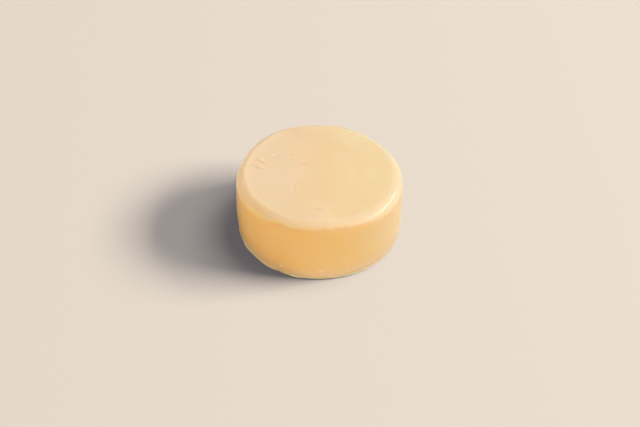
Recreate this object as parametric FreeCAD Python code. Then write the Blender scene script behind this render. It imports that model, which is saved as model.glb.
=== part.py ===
import FreeCAD, Part
import math
import os

# A round conditioner bar: one poured piece of soft wax. Lengths are in millimetres, angles in degrees.
#
# The origin is the centre of the underside, +Z is up, and the bar stands on Z = 0. Angles in plan run
# anticlockwise from +X as seen from above, so the front of the bar is at 270.
#
# The bar is a low puck, a little out of round. The mould's base shaped the face that is now on top:
# a nearly flat crown, which falls a little towards +X, with a soft round-over. The wall swells to a
# belly low down. The underside was the open side of the pour, and keeps a thin uneven lip at its foot.

# Overall sizes
belly_diameter = 60.0     # the widest part of the wall
bar_height = 24.8         # at the middle of the crown
belly_height = 8.5        # the height of the widest part
shoulder_draw_in = 0.5    # how far inside the belly the wall meets the crown, before the edge is rounded
foot_draw_in = 0.85       # how far inside the belly the wall meets the underside, without the lip

# The crown
crown_rise = 0.6          # how much it domes, from the shoulder's radius to the middle
crown_fall = 1.0          # it leans this many degrees, down towards +X
edge_round = 4.3          # radius of the round-over between the crown and the wall

# The lip round the foot
lip_stand_out = 0.25      # how far it stands out from the foot of the wall
lip_under_round = 0.15    # the rounding under its widest line
lip_height = 0.6          # its upright band ends here
lip_fade_height = 1.3     # here it has run out into the wall

# How far the wall is out of round, as waves round it: (waves in a turn, height, angle of a crest)
shoulder_waves = ((3, 0.20, 112.0), (4, 0.12, 130.0), (6, 0.18, 127.0))
foot_waves = ((2, 0.10, 315.0), (4, 0.15, 252.0))

# The lip's own swellings and, below zero, hollows: (angle, half width, height)
lip_swellings = ((254.0, 5.0, 0.35), (209.0, 7.0, 0.30), (236.0, 4.0, 0.15), (297.0, 6.0, -0.20))

# The nick where a crumb broke out of the foot
nick_angle = 241.0
nick_width = 3.2
nick_depth = 0.45

# The flat rubbed on the round-over
rub_angle = 163.0
rub_slope = 40.0          # how far its face looks up from level
rub_depth = 0.35

# Gouges in the crown: (angle, inset from the shoulder, heading, length, width, depth)
crown_gouges = (
    (163.5, 7.4, 155.0, 2.6, 1.1, 0.16),
    (173.5, 7.2, 154.0, 2.9, 1.0, 0.16),
    (143.5, 17.2, 160.0, 3.0, 1.3, 0.12),
    (141.5, 22.5, 150.0, 3.4, 1.2, 0.10),
    (224.0, 16.2, 92.0, 5.0, 1.2, 0.10),
)

# The small scar low on the front of the wall
scar_angle = 271.5
scar_height = 3.8
scar_length = 2.2
scar_width = 0.9
scar_depth = 0.15

# How finely the skin is built
wall_stations = 60        # points round each outline of the wall and the round-over
lip_stations = 120        # and round each outline of the lip, which is less even
wall_steps = 5            # steps up the wall
round_steps = 6           # steps round the round-over

# The radii that follow
belly_radius = belly_diameter / 2
shoulder_radius = belly_radius - shoulder_draw_in

origin = FreeCAD.Vector(0, 0, 0)
x_axis = FreeCAD.Vector(1, 0, 0)
y_axis = FreeCAD.Vector(0, 1, 0)
z_axis = FreeCAD.Vector(0, 0, 1)


def point_at(angle, radius, height):
    """The point at an angle, a distance from the axis and a height."""
    turn = math.radians(angle)
    return FreeCAD.Vector(radius * math.cos(turn), radius * math.sin(turn), height)


def wave_sum(angle, waves):
    """The height of all the waves together at an angle."""
    total = 0.0
    for count, height, crest in waves:
        total += height * math.cos(math.radians(count * (angle - crest)))
    return total


def swelling(angle, centre, half_width, height):
    """The height at an angle of one swelling, which fades out on both sides."""
    away = (angle - centre + 180.0) % 360.0 - 180.0
    return height * math.exp(-((away / half_width) ** 2))


def wall_radius(angle, height):
    """The wall's radius. Both its curves, below and above the belly, are upright at the belly."""
    if height < belly_height:
        down = (belly_height - height) / belly_height
        mean = belly_radius - foot_draw_in * down ** 2
    else:
        up = (height - belly_height) / (bar_height - belly_height)
        mean = belly_radius - shoulder_draw_in * up ** 1.5
    share = height / bar_height
    return mean + share * wave_sum(angle, shoulder_waves) + (1 - share) * wave_sum(angle, foot_waves)


def lip_radius(angle):
    """The lip's radius at its widest line."""
    radius = wall_radius(angle, 0.0) + lip_stand_out
    for centre, half_width, height in lip_swellings:
        radius += swelling(angle, centre, half_width, height)
    return radius


def crown_height(x, y):
    """The height of the crown, which is part of a large ball whose top leans towards +X."""
    ball = shoulder_radius ** 2 / (2 * crown_rise) + crown_rise / 2
    lean = math.radians(crown_fall)
    drop = ball * math.cos(lean) - math.sqrt(ball ** 2 - (x + ball * math.sin(lean)) ** 2 - y ** 2)
    return bar_height - drop


def rim_radius(angle):
    """The radius at which the crown ends and the round-over begins."""
    return wall_radius(angle, bar_height - edge_round) - edge_round


def rim_height(angle):
    """The height of the crown at its rim."""
    rim = point_at(angle, rim_radius(angle), 0)
    return crown_height(rim.x, rim.y)


def outline(stations, point_of):
    """A smooth closed wire through the points that point_of gives round the bar.

    Every outline has evenly spaced parameters, so a skin over several has no more spans than one.
    """
    angles = [360.0 * i / stations for i in range(stations + 1)]
    curve = Part.BSplineCurve()
    curve.interpolate(Points=[point_of(a) for a in angles[:-1]], Parameters=angles, PeriodicFlag=True)
    return Part.Wire([curve.toShape()])


def lip_outline(inset, height):
    """An outline of the lip, inset from its widest line."""
    return outline(lip_stations, lambda angle: point_at(angle, lip_radius(angle) - inset, height))


def wall_outline(share):
    """An outline of the wall, from the top of the lip at 0 to the foot of the round-over at 1."""

    def point_of(angle):
        top = rim_height(angle) - edge_round
        height = lip_fade_height + share * (top - lip_fade_height)
        return point_at(angle, wall_radius(angle, height), height)

    return outline(wall_stations, point_of)


def round_outline(share):
    """An outline of the round-over, from the wall at 0 to the crown's rim at 1."""
    turn = share * math.pi / 2

    def point_of(angle):
        foot = wall_radius(angle, rim_height(angle) - edge_round)
        radius = foot - (foot - rim_radius(angle)) * (1 - math.cos(turn))
        return point_at(angle, radius, rim_height(angle) - edge_round * (1 - math.sin(turn)))

    return outline(wall_stations, point_of)


def make_blank():
    """The whole bar before its wear: a skin over its outlines, closed by the underside and the crown."""
    under = lip_outline(lip_under_round, 0.0)
    lip_low = lip_outline(0.0, lip_under_round)
    lip_high = lip_outline(0.0, lip_height)
    wall = [wall_outline(i / wall_steps) for i in range(wall_steps + 1)]
    round_over = [wall[-1]] + [round_outline(i / round_steps) for i in range(1, round_steps + 1)]
    skins = [
        Part.makeLoft([under, lip_low], False, True),
        Part.makeLoft([lip_low, lip_high], False, True),
        Part.makeLoft([lip_high, wall[0]], False, True),
        Part.makeLoft(wall, False, False),
        Part.makeLoft(round_over, False, False),
    ]
    top = Part.Vertex(FreeCAD.Vector(0, 0, crown_height(0, 0)))
    crown = Part.makeFilledFace(round_over[-1].Edges + [top])
    faces = [face for skin in skins for face in skin.Faces]
    shell = Part.makeShell(faces + [Part.Face(under), crown])
    shell.sewShape()
    blank = Part.Solid(shell)
    if blank.Volume < 0:
        blank.reverse()
    return blank


def ball_radius(width, depth):
    """The radius of a ball that cuts a dent of this width and depth into a flat face."""
    return width ** 2 / (8 * depth) + depth / 2


def gouge_tool(length, width, depth):
    """A ball swung on an arc over the X axis, which cuts a scoop of this size into the plane Z = 0."""
    ball = ball_radius(width, depth)
    swing = ball_radius(length, depth)
    tool = Part.makeTorus(swing - ball, ball)
    tool.rotate(origin, x_axis, 90)
    tool.translate(z_axis * (swing - depth))
    return tool


def crown_gouge(angle, inset, heading, length, width, depth):
    """The tool of one gouge in the crown."""
    spot = point_at(angle, shoulder_radius - inset, 0)
    tool = gouge_tool(length, width, depth)
    tool.rotate(origin, z_axis, heading)
    tool.translate(FreeCAD.Vector(spot.x, spot.y, crown_height(spot.x, spot.y)))
    return tool


def wall_scar():
    """The tool of the scar, which runs round the wall."""
    tool = gouge_tool(scar_length, scar_width, scar_depth)
    tool.rotate(origin, x_axis, -90)
    tool.rotate(origin, z_axis, scar_angle - 90)
    tool.translate(point_at(scar_angle, wall_radius(scar_angle, scar_height), scar_height))
    return tool


def foot_nick():
    """The ball that breaks the nick out of the lip and the foot of the wall."""
    ball = ball_radius(nick_width, nick_depth)
    return Part.makeSphere(ball, point_at(nick_angle, lip_radius(nick_angle) - nick_depth + ball, 0.0))


def rubbed_flat():
    """A block whose inner face lies rub_depth inside the round-over."""
    slope = math.radians(rub_slope)
    reach = edge_round - rub_depth
    radius = rim_radius(rub_angle) + reach * math.cos(slope)
    height = rim_height(rub_angle) - edge_round + reach * math.sin(slope)
    size = belly_diameter
    block = Part.makeBox(size, size, size, FreeCAD.Vector(0, -size / 2, -size / 2))
    block.rotate(origin, y_axis, -rub_slope)
    block.rotate(origin, z_axis, rub_angle)
    block.translate(point_at(rub_angle, radius, height))
    return block


def make_bar():
    """The bar with its wear."""
    bar = make_blank()
    tools = [crown_gouge(*gouge) for gouge in crown_gouges]
    for tool in tools + [wall_scar(), foot_nick(), rubbed_flat()]:
        bar = bar.cut(tool)
    return bar


os.makedirs("parts", exist_ok=True)
conditioner_bar = make_bar()
conditioner_bar.exportStep("parts/conditioner_bar.step")
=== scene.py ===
import math

import bpy
import numpy as np
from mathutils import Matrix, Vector, noise


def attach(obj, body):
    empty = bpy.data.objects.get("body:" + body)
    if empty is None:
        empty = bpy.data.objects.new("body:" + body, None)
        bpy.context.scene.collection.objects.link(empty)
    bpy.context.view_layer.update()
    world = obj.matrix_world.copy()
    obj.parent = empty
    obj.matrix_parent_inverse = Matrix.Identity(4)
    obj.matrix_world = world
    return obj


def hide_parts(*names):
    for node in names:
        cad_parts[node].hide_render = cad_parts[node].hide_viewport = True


# A round conditioner bar of poured wax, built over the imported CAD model.
#
# The bar's form is worked out in millimetres and degrees, and leaves this script in metres. The origin is
# the centre of the underside and +Z is up. Angles in plan run anticlockwise from +X, so the front is at 270.

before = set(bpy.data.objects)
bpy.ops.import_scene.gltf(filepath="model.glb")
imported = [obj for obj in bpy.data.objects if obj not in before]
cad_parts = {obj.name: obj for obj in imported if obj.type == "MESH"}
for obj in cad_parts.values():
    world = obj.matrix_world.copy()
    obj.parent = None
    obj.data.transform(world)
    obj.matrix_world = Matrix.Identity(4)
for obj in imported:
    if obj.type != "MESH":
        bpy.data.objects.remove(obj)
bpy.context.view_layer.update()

MM = 0.001

# ---- The form ----
#
# The sizes are the CAD model's, apart from the foot's tuck, the lip's ragged edge and two of its swellings,
# the places and depths of some gouges, and the crumbs and pits. Those come from a closer look at the
# photograph, or are too small for the CAD model.

BELLY_RADIUS = 30.0
BAR_HEIGHT = 24.8
BELLY_HEIGHT = 8.5
SHOULDER_DRAW_IN = 0.5
FOOT_DRAW_IN = 0.85
SHOULDER_RADIUS = BELLY_RADIUS - SHOULDER_DRAW_IN
CROWN_RISE = 0.6
CROWN_FALL = 1.0
EDGE_ROUND = 4.3

LIP_STAND_OUT = 0.25
LIP_RAGGEDNESS = 0.10
LIP_HEIGHT = 0.6
LIP_FADE_HEIGHT = 1.3

# Under the lip the foot rounds in to where the bar touches the floor
FOOT_TUCK = 1.6
FOOT_TUCK_HEIGHT = 0.6

# Waves round the wall: (waves in a turn, height, angle of a crest)
SHOULDER_WAVES = ((3, 0.20, 112.0), (4, 0.12, 130.0), (6, 0.18, 127.0))
FOOT_WAVES = ((2, 0.10, 315.0), (4, 0.15, 252.0))

# Swellings of the lip: (angle, half width in degrees, height)
LIP_SWELLINGS = ((254.0, 5.0, 0.35), (209.0, 7.0, 0.30), (232.0, 9.0, 0.30), (302.0, 22.0, 0.35))

# The nick in the lip and the foot of the wall
NICK_ANGLE = 241.0
NICK_WIDTH = 3.2
NICK_DEPTH = 0.45

# A place on the round-over has an angle in plan and a facing, which is how many degrees up the surface faces
# there: 0 where it meets the wall, and 90 where it meets the crown.

# The flat that has been rubbed on the round-over
RUB_ANGLE = 163.0
RUB_FACING = 40.0
RUB_DEPTH = 0.35

# Gouges in the crown: (x, y, heading, length, width, depth, burr). The burr is the share of the wax that is
# pushed up on the left, seen along the heading.
GOUGES = (
    (-20.7, 5.5, 328.0, 3.2, 1.2, 0.16, 0.9),
    (-21.4, 1.9, 332.0, 3.0, 1.1, 0.15, 0.9),
    (-23.2, 3.6, 325.0, 2.0, 0.8, 0.10, 0.3),
    (-9.1, 6.5, 335.0, 2.4, 1.2, 0.07, 0.25),
    (-5.4, 4.3, 350.0, 3.4, 1.3, 0.07, 0.1),
    (-8.3, -8.3, 92.0, 4.6, 1.3, 0.05, 0.35),
    (0.0, -19.6, 352.0, 6.0, 1.4, 0.02, 0.1),
)

# The scar low on the wall: (angle, height above the floor, length, width, depth, burr)
SCAR = (271.5, 3.8, 2.2, 0.9, 0.20, 1.1)

# A burr's place and width are shares of its gouge's width, and its height is a share of the gouge's depth
BURR_PLACE = 0.7
BURR_WIDTH = 0.35
BURR_HEIGHT = 0.6

# Below 1, the power makes the bottom of a gouge fuller
GOUGE_POWER = 0.7

# Crumbs stuck to the crown and pits in it: (x, y, size, height)
CROWN_SPOTS = (
    (-16.3, 8.8, 0.62, 0.34),
    (-22.8, 6.7, 0.50, 0.12),
    (-20.4, 7.4, 0.45, 0.10),
    (-14.0, 8.9, 0.45, -0.05),
    (-10.8, 7.5, 0.45, 0.03),
    (-4.8, 2.1, 0.55, 0.03),
)

# Crumbs and chips on the round-over: (angle, facing, size, height)
RIM_SPOTS = (
    (163.0, 24.0, 0.50, 0.32),
    (151.0, 33.0, 0.45, 0.32),
    (157.0, 42.0, 0.60, -0.20),
    (166.5, 45.0, 0.60, -0.22),
    (171.5, 52.0, 0.55, -0.18),
    (165.0, 66.0, 0.40, -0.12),
    (168.5, 70.0, 0.40, 0.10),
    (174.0, 62.0, 0.45, 0.12),
)

# Crumbs low on the wall: (angle, height above the floor, size, height)
WALL_SPOTS = (
    (243.3, 3.8, 0.40, 0.38),
    (253.0, 4.4, 0.38, 0.22),
    (272.0, 2.6, 0.38, 0.28),
)

# A mark on the crown or the round-over stays above this height, and a mark on the wall stays below it
MARK_DIVIDE = 15.0

# The gentle unevenness of the poured surface, which dies out below the calm height
BROAD_WAVE_HEIGHT = 0.07
BROAD_WAVE_SIZE = 11.0
FINE_WAVE_HEIGHT = 0.008
FINE_WAVE_SIZE = 2.6
CALM_HEIGHT = 1.5

# Each finer layer of the noise has waves of half the size
LACUNARITY = 2.0

# Inside this radius the underside stays flat and clean
FOOT_INNER_RADIUS = BELLY_RADIUS - 2.0

# ---- How finely the mesh is built ----

STATIONS = 600
CROWN_RINGS = 76
ROUND_RINGS = 24
WALL_RINGS = 22
FOOT_RINGS = 22
FOOT_BAND_HEIGHT = 5.2
LIP_HEIGHTS = (1.1, 0.9, 0.75, 0.66, 0.58, 0.48, 0.36, 0.24, 0.15, 0.09, 0.04, 0.0)
UNDERSIDE_SHARES = (0.985, 0.95, 0.85, 0.65, 0.4, 0.15)
LIP_START = CROWN_RINGS + ROUND_RINGS + WALL_RINGS + FOOT_RINGS
RING_COUNT = LIP_START + len(LIP_HEIGHTS) + len(UNDERSIDE_SHARES)

# Below 1, the crown's rings lie closer together towards its rim
CROWN_RING_POWER = 0.8

# The ring of the lip from which the nick's depth is measured
NICK_RING = LIP_START + LIP_HEIGHTS.index(0.58)

# ---- Where the wax is paler, and where sheen and highlights are painted ----

# Where the pale skin of bloom and painted sheen ends on the round-over: (angle, facing, half width of the
# fade)
SKIN_EDGE = (
    (0.0, 8.0, 22.0),
    (60.0, 15.0, 22.0),
    (130.0, 20.0, 20.0),
    (165.0, 3.0, 24.0),
    (195.0, 6.0, 26.0),
    (215.0, 26.0, 22.0),
    (228.0, 41.0, 17.0),
    (242.0, 47.0, 12.0),
    (270.0, 47.0, 12.0),
    (295.0, 46.0, 13.0),
    (315.0, 26.0, 20.0),
    (340.0, 6.0, 20.0),
)
SKIN_WAVER = 8.0

# Handling leaves small dents of this height in the upper part of the round-over. The dents begin some rings
# inside the crown's rim, and take some rings to come and to go.
DENT_HEIGHT = 0.045
DENT_LEAD_RINGS = 6
DENT_FADE_RINGS = 10

# The angle at which the highlight painted on the edge is brightest
HIGHLIGHT_ANGLE = 305.0

# How fresh the wax looks where it is rubbed or nicked, and how pale the highlight painted along the lip is.
# The burr of a gouge, whose paleness is a painted highlight, can reach 1.
WEAR_AND_LIP_HIGHLIGHT_PALENESS = 0.3

# A rub or a nick looks fully worn where it has taken this much, and the highlight painted along the lip
# begins this high
WORN_DEPTH = 0.2
LIP_HIGHLIGHT_HEIGHT = 1.0

# How fresh a crumb looks for each millimetre of its height
CRUMB_FRESHNESS = 3.0

angles = np.arange(STATIONS) * 360.0 / STATIONS
turns = np.radians(angles)


def station_at(angle):
    """The station nearest to an angle."""
    return round(angle / 360 * STATIONS) % STATIONS


def wave_sum(waves):
    """The height of all the waves together, round the bar."""
    return sum(height * np.cos(np.radians(count * (angles - crest))) for count, height, crest in waves)


def turned_away(centre):
    """How far round each station is from an angle, in degrees from -180 to 180."""
    return (angles - centre + 180.0) % 360.0 - 180.0


def smooth(share):
    """A smooth step from 0 to 1."""
    share = np.clip(share, 0, 1)
    return share * share * (3 - 2 * share)


def noise_round(reach, level, dimension):
    """Noise that runs round the bar and meets itself. A longer reach gives more waves in a turn."""
    places = [Vector((math.cos(turn) * reach, math.sin(turn) * reach, level)) for turn in turns]
    return np.array([noise.fractal(place, dimension, LACUNARITY, 4) for place in places])


def noise_over(points, size):
    """Noise over the surface, with waves of about this size."""
    places = [Vector(point / size) for point in points.reshape(-1, 3)]
    values = [noise.fractal(place, 0.8, LACUNARITY, 2) for place in places]
    return np.array(values).reshape(points.shape[:2])


def from_axis(points):
    """How far points are from the bar's axis."""
    return np.linalg.norm(points[..., :2], axis=-1)


def wall_radius(height):
    """The wall's radius at a height, which is a number or an array round the bar."""
    height = np.broadcast_to(height, angles.shape)
    down = np.clip((BELLY_HEIGHT - height) / BELLY_HEIGHT, 0, None)
    up = np.clip((height - BELLY_HEIGHT) / (BAR_HEIGHT - BELLY_HEIGHT), 0, None)
    share = height / BAR_HEIGHT
    mean = BELLY_RADIUS - FOOT_DRAW_IN * down ** 2 - SHOULDER_DRAW_IN * up ** 1.5
    return mean + share * wave_sum(SHOULDER_WAVES) + (1 - share) * wave_sum(FOOT_WAVES)


def crown_height(x, y):
    """The height of the crown, which is part of a large ball whose top leans towards +X."""
    ball = SHOULDER_RADIUS ** 2 / (2 * CROWN_RISE) + CROWN_RISE / 2
    lean = math.radians(CROWN_FALL)
    drop = ball * math.cos(lean) - np.sqrt(ball ** 2 - (x + ball * math.sin(lean)) ** 2 - y ** 2)
    return BAR_HEIGHT - drop


def ring(radius, height):
    """The points of one ring round the bar."""
    height = np.broadcast_to(height, angles.shape)
    return np.stack([radius * np.cos(turns), radius * np.sin(turns), height], axis=-1)


def crown_rings(rim):
    """The rings of the crown, from its middle out to its rim."""
    for i in range(1, CROWN_RINGS + 1):
        radius = rim * (i / CROWN_RINGS) ** CROWN_RING_POWER
        yield ring(radius, crown_height(radius * np.cos(turns), radius * np.sin(turns)))


def round_over_rings(rim, rim_height):
    """The rings of the round-over, from the crown's rim to the top of the wall."""
    shoulder = wall_radius(rim_height - EDGE_ROUND)
    for i in range(1, ROUND_RINGS + 1):
        turn = math.pi / 2 * (1 - i / ROUND_RINGS)
        radius = shoulder - (shoulder - rim) * (1 - math.cos(turn))
        yield ring(radius, rim_height - EDGE_ROUND * (1 - math.sin(turn)))


def wall_rings(wall_top):
    """The rings of the wall, which lie closer together near the foot, where its marks are."""
    band_top = np.full(angles.shape, FOOT_BAND_HEIGHT)
    wall_heights = np.linspace(wall_top, band_top, WALL_RINGS + 1)[1:]
    foot_heights = np.linspace(band_top, LIP_FADE_HEIGHT, FOOT_RINGS + 1)[1:]
    for height in (*wall_heights, *foot_heights):
        yield ring(wall_radius(height), height)


def lip_rings():
    """The rings of the lip, down to where the tucked-in foot touches the floor."""
    stand_out = np.full(angles.shape, LIP_STAND_OUT)
    for centre, half_width, height in LIP_SWELLINGS:
        stand_out += height * np.exp(-(turned_away(centre) / half_width) ** 2)
    stand_out += LIP_RAGGEDNESS * noise_round(reach=9.0, level=4.0, dimension=0.6)
    for height in LIP_HEIGHTS:
        fade = smooth((LIP_FADE_HEIGHT - height) / (LIP_FADE_HEIGHT - LIP_HEIGHT))
        tuck = FOOT_TUCK * max(0.0, 1 - height / FOOT_TUCK_HEIGHT) ** 2
        yield ring(wall_radius(height) + stand_out * fade - tuck, height)


def base_rings():
    """Every ring of the bar before its marks, from the crown's middle to the middle of the underside."""
    rim = wall_radius(BAR_HEIGHT - EDGE_ROUND) - EDGE_ROUND
    rim_height = crown_height(rim * np.cos(turns), rim * np.sin(turns))
    rings = [
        *crown_rings(rim),
        *round_over_rings(rim, rim_height),
        *wall_rings(rim_height - EDGE_ROUND),
        *lip_rings(),
    ]
    foot = from_axis(rings[-1])
    rings += [ring(foot * share, 0.0) for share in UNDERSIDE_SHARES]
    return np.array(rings)


def normals_of(points):
    """The outward normal at each point of the rings."""
    along = np.roll(points, -1, axis=1) - np.roll(points, 1, axis=1)
    down = np.gradient(points, axis=0)
    normals = np.cross(down, along)
    return normals / np.linalg.norm(normals, axis=-1, keepdims=True)


def gouge(across, along, length, width, depth, burr_share):
    """A gouge with a burr along one side. Returns its height, the burr's painted highlight and the hollow's
    painted shade.
    """
    bowl = np.clip(1 - (2 * along / length) ** 2 - (2 * across / width) ** 2, 0, None)

    # Two waves that don't fall into step make the torn wax lumpy
    lumps = 0.65 + 0.35 * np.cos(7.0 * along / length + 2.0 * across) * np.cos(4.0 * along / width)

    # The burr runs a little past the ends of the gouge
    ridge = np.exp(-((across / width - BURR_PLACE) / BURR_WIDTH) ** 2)
    burr = ridge * smooth(1.3 - np.abs(2 * along / length)) * lumps
    raised = burr_share * BURR_HEIGHT * depth * burr - depth * bowl ** GOUGE_POWER
    # The burr's paleness is a painted highlight, and the hollow is where shade is painted
    return raised, burr_share * burr, bowl * lumps


def spot(distance, size, height):
    """A small round crumb or pit. Returns its height, how pale a crumb is, and a pit's hollow, where shade
    is painted.
    """
    shape = np.exp(-(distance / size) ** 2)
    # A crumb is paler, and a pit is hollow, where shade is painted
    return height * shape, shape * min(1.0, max(0.0, CRUMB_FRESHNESS * height)), shape * (height < 0)


def in_plan(points, x, y, heading):
    """How far points are from (x, y) across and along a heading, in plan."""
    turn = math.radians(heading)
    dx, dy = points[..., 0] - x, points[..., 1] - y
    return dy * math.cos(turn) - dx * math.sin(turn), dx * math.cos(turn) + dy * math.sin(turn)


def on_wall(points, angle, height):
    """How far points are from a place on the wall, up it and round it."""
    away = (np.degrees(np.arctan2(points[..., 1], points[..., 0])) - angle + 180) % 360 - 180
    return points[..., 2] - height, np.radians(away) * BELLY_RADIUS


def every_mark(points):
    """Each mark's height, paleness with painted highlight and hollow with painted shade at every point, with
    the part of the bar it is on.
    """
    crown = points[..., 2] > MARK_DIVIDE
    for x, y, heading, *size in GOUGES:
        yield gouge(*in_plan(points, x, y, heading), *size), crown
    for x, y, size, height in CROWN_SPOTS:
        yield spot(np.hypot(*in_plan(points, x, y, 0)), size, height), crown
    for angle, facing, size, height in RIM_SPOTS:
        ring_index = CROWN_RINGS - 1 + round(ROUND_RINGS * (1 - facing / 90))
        centre = points[ring_index, station_at(angle)]
        yield spot(np.linalg.norm(points - centre, axis=-1), size, height), crown
    angle, place, *size = SCAR
    yield gouge(*on_wall(points, angle, place), *size), ~crown
    for angle, place, size, height in WALL_SPOTS:
        yield spot(np.hypot(*on_wall(points, angle, place)), size, height), ~crown


def marks(points):
    """The height the marks add along the normal, how pale the wax is with painted highlights, and its
    hollows' painted shade, at each point.
    """
    raised, fresh_and_highlight, hollow = np.zeros((3, *points.shape[:2]))
    for (mark_raised, mark_fresh_and_highlight, mark_hollow), where in every_mark(points):
        raised += np.where(where, mark_raised, 0)
        fresh_and_highlight = np.maximum(fresh_and_highlight, np.where(where, mark_fresh_and_highlight, 0))
        hollow = np.maximum(hollow, np.where(where, mark_hollow, 0))
    return raised, np.clip(fresh_and_highlight, 0, 1), np.clip(hollow, 0, 1)


def on_edge():
    """How far each ring belongs to the upper part of the round-over, where handling dents it and a highlight
    is painted.
    """
    ring_index = np.arange(RING_COUNT)
    rise = smooth((ring_index - CROWN_RINGS + DENT_LEAD_RINGS) / DENT_FADE_RINGS)
    fall = smooth((CROWN_RINGS + ROUND_RINGS - ring_index) / DENT_FADE_RINGS)
    return (rise * fall)[:, None]


def unevenness(points):
    """The gentle unevenness of a poured surface, and the small dents that handling leaves round its edge."""
    broad = BROAD_WAVE_HEIGHT * noise_over(points, BROAD_WAVE_SIZE)
    fine = (FINE_WAVE_HEIGHT + DENT_HEIGHT * on_edge()) * noise_over(points, FINE_WAVE_SIZE)
    return (broad + fine) * smooth(points[..., 2] / CALM_HEIGHT)


def cut_rub(points):
    """Rubs the round-over flat at one place. Returns the points, and how worn the wax is at each."""
    lift, turn = math.radians(RUB_FACING), math.radians(RUB_ANGLE)
    outward = np.array([math.cos(lift) * math.cos(turn), math.cos(lift) * math.sin(turn), math.sin(lift)])
    centre = points[CROWN_RINGS - 1, station_at(RUB_ANGLE)] - [0, 0, EDGE_ROUND]
    limit = centre @ outward + EDGE_ROUND - RUB_DEPTH
    over = np.clip(points @ outward - limit, 0, None)
    return points - over[..., None] * outward, smooth(over / WORN_DEPTH)


def cut_nick(points):
    """Breaks the nick out of the foot with a ball. Returns the points, and how worn the wax is at each."""
    ball = NICK_WIDTH ** 2 / (8 * NICK_DEPTH) + NICK_DEPTH / 2
    station = station_at(NICK_ANGLE)
    outward = np.array([math.cos(turns[station]), math.sin(turns[station]), 0])
    middle = outward * (from_axis(points[NICK_RING, station]) - NICK_DEPTH + ball)
    depth = np.clip(ball - np.linalg.norm(points - middle, axis=-1), 0, None)
    above_floor = points[..., 2] > 0
    inward = np.where(above_floor | (from_axis(points) > FOOT_INNER_RADIUS), depth, 0)
    return points - inward[..., None] * outward, smooth(inward / WORN_DEPTH)


def crown_share():
    """How far each point belongs to the crown: 1 on it, falling to 0 on the round-over."""
    share = np.zeros((RING_COUNT, STATIONS))
    share[:CROWN_RINGS] = 1.0
    facing = 90.0 * (1 - np.arange(1, ROUND_RINGS + 1) / ROUND_RINGS)
    where, edge, fade = np.array(SKIN_EDGE).T
    edge = np.interp(angles, where, edge, period=360.0)
    edge += SKIN_WAVER * noise_round(reach=6.0, level=1.0, dimension=0.8)
    fade = np.interp(angles, where, fade, period=360.0)
    share[CROWN_RINGS:CROWN_RINGS + ROUND_RINGS] = smooth((facing[:, None] - edge + fade) / (2 * fade))
    return share


def painted_edge_highlight():
    """How strongly a highlight is painted on the upper part of the round-over, most of all at the front
    right.
    """
    return crown_share() * on_edge() * (0.5 + 0.5 * np.cos(np.radians(angles - HIGHLIGHT_ANGLE)))


def bar_points():
    """The points of every ring of the finished surface, how pale the wax is with its wear and painted
    highlights, and its hollows' painted shade.
    """
    points = base_rings()
    points, rubbed = cut_rub(points)
    points, nicked = cut_nick(points)
    normals = normals_of(points)
    raised, fresh_and_highlight, hollow = marks(points)
    points = points + (raised + unevenness(points))[..., None] * normals
    points[..., 2] = np.clip(points[..., 2], 0, None)
    # Rubs and nicks are paler as real wear, and the lip's paler band is a painted highlight line
    lip = smooth((LIP_HIGHLIGHT_HEIGHT - points[..., 2]) / (LIP_HIGHLIGHT_HEIGHT - LIP_HEIGHT))
    lip *= from_axis(points) > FOOT_INNER_RADIUS
    worn_and_lip_highlight = [WEAR_AND_LIP_HIGHLIGHT_PALENESS * share for share in (rubbed, nicked, lip)]
    return points, np.max([fresh_and_highlight, *worn_and_lip_highlight], axis=0), hollow


def bar_faces():
    """Quads between each ring and the next, and a fan of triangles at each of the two poles."""
    station = np.arange(STATIONS)
    after = (station + 1) % STATIONS
    faces = []
    for i in range(RING_COUNT - 1):
        here, below = i * STATIONS, (i + 1) * STATIONS
        faces += np.stack([here + station, below + station, below + after, here + after], axis=-1).tolist()
    last = (RING_COUNT - 1) * STATIONS
    top_pole = RING_COUNT * STATIONS
    low_pole = top_pole + 1
    faces += [[top_pole, int(a), int(b)] for a, b in zip(station, after)]
    faces += [[low_pole, int(last + b), int(last + a)] for a, b in zip(station, after)]
    return faces


def placed(name, data):
    """A new object in the scene."""
    thing = bpy.data.objects.new(name, data)
    bpy.context.scene.collection.objects.link(thing)
    return thing


def make_bar():
    """The bar as one closed mesh, with what the wax is like, and where light and shade are painted on it,
    kept at every point for its material.
    """
    points, fresh_and_highlight, hollow = bar_points()
    poles = [[0.0, 0.0, float(crown_height(0.0, 0.0))], [0.0, 0.0, 0.0]]
    vertices = np.concatenate([points.reshape(-1, 3), poles]) * MM
    mesh = bpy.data.meshes.new("conditioner_bar_surface")
    mesh.from_pydata(vertices.tolist(), [], bar_faces())
    mesh.shade_smooth()
    attributes = {
        "fresh_and_highlight": (fresh_and_highlight, 0.0),
        "hollow": (hollow, 0.0),
        "crown": (crown_share(), 1.0),
        # The edge attribute holds the highlight painted on the round-over
        "edge": (painted_edge_highlight(), 0.0),
    }
    for name, (values, at_top) in attributes.items():
        mesh.attributes.new(name, "FLOAT", "POINT").data.foreach_set("value", [*values.ravel(), at_top, 0.0])
    mesh.update()
    return placed("conditioner_bar_surface", mesh)


# ---- Materials ----

WAX = (0.87, 0.58, 0.21)
# The deeper wax is painted shade on the bar's left, and the paler wax is painted light on its right
WAX_SHADED_SIDE = (0.90, 0.55, 0.16)
WAX_LIT_SIDE = (0.88, 0.65, 0.33)
WAX_CLOUD = (0.86, 0.60, 0.30)
# The foot's colour is partly bloom and partly painted light bounced up from the floor
WAX_FOOT_BLOOM_AND_BOUNCE = (0.85, 0.60, 0.35)
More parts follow.
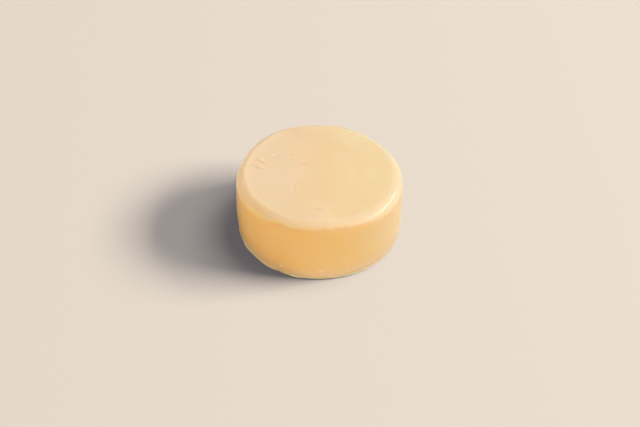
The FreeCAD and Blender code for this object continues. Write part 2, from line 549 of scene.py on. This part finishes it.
# The crown's blooms are partly bloom and partly painted sheen.
# The first is brighter, as painted light on the right, and the second greyer, as painted shade on the left.
WAX_BLOOM_LIT_SIDE = (1.0, 0.745, 0.41)
WAX_BLOOM_SHADED_SIDE = (0.79, 0.60, 0.34)
# A painted highlight on the upper part of the round-over
WAX_PAINTED_HIGHLIGHT = (0.94, 0.73, 0.47)
WAX_SKIN_END = (0.84, 0.76, 0.30)
# Fresh wax, with a painted highlight on burrs and along the lip
WAX_FRESH_AND_HIGHLIGHT = (0.99, 0.85, 0.66)
# Painted shade in hollows
WAX_HOLLOW_SHADE = (0.83, 0.54, 0.28)
FLOOR = (0.91, 0.82, 0.70)

# How far the line between the painted shade on the left and the painted light on the right wavers, in mm
SHADE_TO_LIGHT_WAVER = 16.0

# The scale of each noise pattern in the wax, per metre
SHADE_TO_LIGHT_SCALE = 45.0
BLOOM_SCALE = 60.0
CLOUD_SCALE = 130.0
SKIN_SCALE = 260.0
GRAIN_SCALE = 900.0

# How far light spreads in the wax, in mm, and the shares of that for red, green and blue
SCATTER_DEPTH = 2.5
SCATTER_SHARES = (1.0, 0.65, 0.4)

# The finest relief of the wax's skin, in mm, and how much of it the bump gives
RELIEF_HEIGHT = 0.05
RELIEF_STRENGTH = 0.35

# The roughness where the grain is 0, and what a grain of 1 adds to it
ROUGHNESS = 0.14
ROUGHNESS_OF_GRAIN = 0.12


class Nodes:
    """A short way to write node trees. The calls that make a value return its socket."""

    def __init__(self, owner):
        owner.use_nodes = True
        self.tree = owner.node_tree
        self.tree.nodes.clear()

    def add(self, kind, inputs=None, **settings):
        """A new node with its settings, and with its inputs set or linked."""
        node = self.tree.nodes.new(kind)
        for name, value in settings.items():
            setattr(node, name, value)
        for key, value in (inputs or {}).items():
            self.put(node.inputs[key], value)
        return node

    def put(self, socket, value):
        """Links a socket into an input, or sets the input to a value. A colour gets its alpha."""
        if isinstance(value, bpy.types.NodeSocket):
            self.tree.links.new(value, socket)
        elif isinstance(value, tuple) and len(value) == 3 and socket.type == "RGBA":
            socket.default_value = (*value, 1.0)
        else:
            socket.default_value = value

    def math(self, operation, *values):
        return self.add("ShaderNodeMath", dict(enumerate(values)), operation=operation).outputs[0]

    def times(self, value, *factors):
        for factor in factors:
            value = self.math("MULTIPLY", value, factor)
        return value

    def attribute(self, name):
        return self.add("ShaderNodeAttribute", attribute_name=name).outputs["Fac"]

    def fade(self, value, start, end):
        """0 at start, 1 at end, and smooth between."""
        node = self.add("ShaderNodeMapRange", {0: value, 1: start, 2: end}, interpolation_type="SMOOTHSTEP")
        return node.outputs[0]

    def mix(self, share, a, b):
        return self.add("ShaderNodeMix", {0: share, 6: a, 7: b}, data_type="RGBA").outputs[2]

    def noise(self, place, scale, detail, roughness=0.5):
        inputs = {"Vector": place, "Scale": scale, "Detail": detail, "Roughness": roughness}
        return self.add("ShaderNodeTexNoise", inputs).outputs["Fac"]

    def surface(self, inputs):
        """The material's one shader and its output."""
        shader = self.add("ShaderNodeBsdfPrincipled", inputs)
        self.add("ShaderNodeOutputMaterial", {"Surface": shader.outputs[0]})


def wax_colour(n, place):
    """Cloudy honey, with painted shade at the left and painted light at the right, a pale bloom and painted
    sheen on the crown, and a duller band at the foot.
    """
    x, y, z = n.add("ShaderNodeSeparateXYZ", {0: place}).outputs
    # These carry the crown's share, the painted edge highlight, painted shade in hollows, and fresh wax with
    # painted highlights
    crown, edge, hollow, fresh_and_highlight = (n.attribute(name) for name in ("crown", "edge", "hollow", "fresh_and_highlight"))

    # This runs from the left of the bar, where shade is painted, to its right, where light is painted, and
    # wavers
    shade_to_light = n.math("MULTIPLY_ADD", n.noise(place, SHADE_TO_LIGHT_SCALE, 2.0), SHADE_TO_LIGHT_WAVER * MM, x)
    cloud = n.fade(n.noise(place, CLOUD_SCALE, 4.0), 0.35, 0.65)
    bloom_cloud = n.fade(n.noise(place, BLOOM_SCALE, 5.0, 0.6), 0.3, 0.7)
    # Painted light yellows and brightens the bloom on the right, and painted shade greys it on the left
    bloom_and_sheen_colour = n.mix(n.fade(shade_to_light, -15 * MM, 30 * MM), WAX_BLOOM_SHADED_SIDE, WAX_BLOOM_LIT_SIDE)

    # The bloom's end is yellower at the front left. It lies where the crown's share is neither 0 nor 1.
    skin_end = n.times(crown, n.math("SUBTRACT", 1.0, crown))
    skin_end = n.times(skin_end, n.fade(shade_to_light, 20 * MM, -8 * MM), n.fade(y, -8 * MM, -18 * MM), 2.2)

    # Each layer lies over the ones before it: (how much of it shows, its colour)
    layers = (
        # Painted light: paler wax on the right of the bar, where it is lit
        (n.times(n.fade(shade_to_light, 14 * MM, 42 * MM), 0.7), WAX_LIT_SIDE),
        (n.times(cloud, 0.3), WAX_CLOUD),
        # A duller band at the foot: partly bloom, partly painted light bounced up from the floor
        (n.times(n.fade(z, 7 * MM, 1 * MM), 0.7), WAX_FOOT_BLOOM_AND_BOUNCE),
        # Bloom with painted sheen on the crown
        (n.times(crown, n.math("MULTIPLY_ADD", bloom_cloud, 0.3, 0.7)), bloom_and_sheen_colour),
        (skin_end, WAX_SKIN_END),
        # A painted highlight on the upper part of the round-over, brightest at the front right
        (n.times(edge, 0.5), WAX_PAINTED_HIGHLIGHT),
        # Painted shade in the hollows of gouges and pits
        (n.times(hollow, 0.7), WAX_HOLLOW_SHADE),
        # Fresh wax, with painted highlights on burrs and along the lip
        (n.times(fresh_and_highlight, 0.8), WAX_FRESH_AND_HIGHLIGHT),
    )
    # Painted shade: a deeper orange on the left of the bar
    colour = n.mix(n.fade(shade_to_light, -22 * MM, 8 * MM), WAX_SHADED_SIDE, WAX)
    for share, layer_colour in layers:
        colour = n.mix(share, colour, layer_colour)
    return colour


def wax_material():
    """Soft translucent wax with a fine grain in its skin."""
    material = bpy.data.materials.new("conditioner_wax")
    n = Nodes(material)
    place = n.add("ShaderNodeTexCoord").outputs["Object"]
    grain = n.noise(place, GRAIN_SCALE, 3.0, 0.6)
    relief = n.math("MULTIPLY_ADD", grain, 0.3, n.noise(place, SKIN_SCALE, 2.0))
    bump_inputs = {"Strength": RELIEF_STRENGTH, "Distance": RELIEF_HEIGHT * MM, "Height": relief}
    n.surface({
        "Base Color": wax_colour(n, place),
        "Roughness": n.math("MULTIPLY_ADD", grain, ROUGHNESS_OF_GRAIN, ROUGHNESS),
        "IOR": 1.45,
        "Subsurface Weight": 1.0,
        "Subsurface Radius": SCATTER_SHARES,
        "Subsurface Scale": SCATTER_DEPTH * MM,
        "Normal": n.add("ShaderNodeBump", bump_inputs).outputs[0],
    })
    return material


def floor_material():
    """Plain pale warm paper."""
    material = bpy.data.materials.new("floor")
    Nodes(material).surface({"Base Color": FLOOR, "Roughness": 0.9})
    return material


# ---- The bar on its body ----

bar = make_bar()
bar.data.materials.append(wax_material())
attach(bar, "root")
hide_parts("conditioner_bar")

# The bar throws no coloured glow on the floor, so that its shadow stays a neutral grey
bar.visible_diffuse = False

# ---- The floor, the light and the camera ----

# The floor reaches this far from the bar, in metres, and lies this far under it, in mm
FLOOR_REACH = 4.0
FLOOR_DROP = 0.02

LAMP_DISTANCE = 6.0
SUN = (1.05, 1.0, 0.92)
DAYLIGHT = (0.97, 0.99, 1.04)
SKYLIGHT = (0.95, 0.97, 1.14)
WARM = (1.0, 0.85, 0.62)
WARM_LOW = (1.0, 0.78, 0.52)

# The room as the camera and the gloss see it, and the dim light that it gives
ROOM = (0.94, 0.93, 0.92)
ROOM_SEEN = 0.8
ROOM_SHADE = (0.11, 0.108, 0.138)

# The camera stands in front of the bar. Its lens and its target are in mm, and its distance is in metres.
CAMERA_LENS = 68.8
CAMERA_SENSOR = 36.0
CAMERA_ELEVATION = 41.9
CAMERA_DISTANCE = 0.4426
CAMERA_TARGET = (0.3, -3.9, 8.0)


def make_floor():
    """A wide level floor under the bar."""
    mesh = bpy.data.meshes.new("floor")
    level = -FLOOR_DROP * MM
    signs = ((-1, -1), (1, -1), (1, 1), (-1, 1))
    corners = [(x * FLOOR_REACH, y * FLOOR_REACH, level) for x, y in signs]
    mesh.from_pydata(corners, [], [(0, 1, 2, 3)])
    mesh.materials.append(floor_material())
    return placed("floor", mesh)


def aim(thing, target):
    """Turns a camera or a lamp to look at a point."""
    thing.rotation_euler = (target - thing.location).to_track_quat("-Z", "Y").to_euler()


def seen_from(azimuth, elevation, distance):
    """The point at a distance from the origin. Azimuth 0 is in front, at -Y, and 90 is at +X."""
    turn, lift = math.radians(azimuth), math.radians(elevation)
    side = distance * math.cos(lift)
    return Vector((side * math.sin(turn), -side * math.cos(turn), distance * math.sin(lift)))


def light(piece, name, azimuth, elevation, size, power, colour, height=None, roll=0.0, glossy=False):
    """A soft lamp that lights one piece alone. It is square unless it has a height."""
    lamp = bpy.data.lights.new(name, "AREA")
    lamp.shape = "RECTANGLE"
    lamp.size = size
    lamp.size_y = height or size
    lamp.energy = power
    lamp.color = colour
    thing = placed(name, lamp)
    thing.location = seen_from(azimuth, elevation, LAMP_DISTANCE)
    aim(thing, Vector((0, 0, 0)))
    thing.rotation_euler.rotate_axis("Z", math.radians(roll))
    thing.visible_glossy = glossy
    lit = bpy.data.collections.new(name)
    lit.objects.link(piece)
    thing.light_linking.receiver_collection = lit


def make_world():
    """A dim bluish light from all round, which shows as a pale room to the camera and in the wax's gloss."""
    world = bpy.data.worlds.new("studio")
    bpy.context.scene.world = world
    n = Nodes(world)
    path = n.add("ShaderNodeLightPath").outputs
    seen = n.math("MAXIMUM", path["Is Camera Ray"], path["Is Glossy Ray"])
    pale = tuple(ROOM_SEEN * value for value in ROOM)
    room = n.add("ShaderNodeBackground", {"Color": n.mix(seen, ROOM_SHADE, pale)})
    n.add("ShaderNodeOutputWorld", {"Surface": room.outputs[0]})


def make_camera():
    """The camera at the photograph's viewing angle."""
    camera = bpy.data.cameras.new("camera")
    camera.lens = CAMERA_LENS
    camera.sensor_width = CAMERA_SENSOR
    camera.clip_start = 0.01
    thing = placed("camera", camera)
    middle = Vector((0, 0, BAR_HEIGHT / 2 * MM))
    thing.location = middle + seen_from(0.0, CAMERA_ELEVATION, CAMERA_DISTANCE)
    aim(thing, Vector([value * MM for value in CAMERA_TARGET]))
    bpy.context.scene.camera = thing


floor = make_floor()

# The photograph's light comes from several windows, so the wax and the shadow each have their own lamps
light(bar, "window", azimuth=140.0, elevation=52.0, size=2.8, power=124.0, colour=DAYLIGHT)
light(floor, "floor fill", azimuth=108.0, elevation=62.0, size=3.4, power=110.0, colour=DAYLIGHT)
light(bar, "behind", azimuth=200.0, elevation=36.0, size=3.2, power=80.0, colour=DAYLIGHT, glossy=True)
light(floor, "floor key", azimuth=93.0, elevation=30.0, size=2.9, height=1.5, power=388.0, colour=SUN)
light(bar, "key", azimuth=90.0, elevation=31.0, size=6.8, height=0.5, roll=-27.0, power=160.0,
      colour=SKYLIGHT, glossy=True)
light(bar, "low fill", azimuth=-58.0, elevation=8.0, size=0.8, power=52.0, colour=WARM_LOW)
light(bar, "soft fill", azimuth=-38.0, elevation=32.0, size=3.0, power=150.0, colour=WARM)
light(bar, "right fill", azimuth=62.0, elevation=8.0, size=1.4, power=98.0, colour=DAYLIGHT)
light(bar, "left fill", azimuth=250.0, elevation=15.0, size=1.4, power=38.0, colour=DAYLIGHT)
light(bar, "above fill", azimuth=70.0, elevation=78.0, size=4.0, power=18.0, colour=DAYLIGHT)
make_world()
make_camera()
bpy.context.scene.view_settings.view_transform = "Standard"
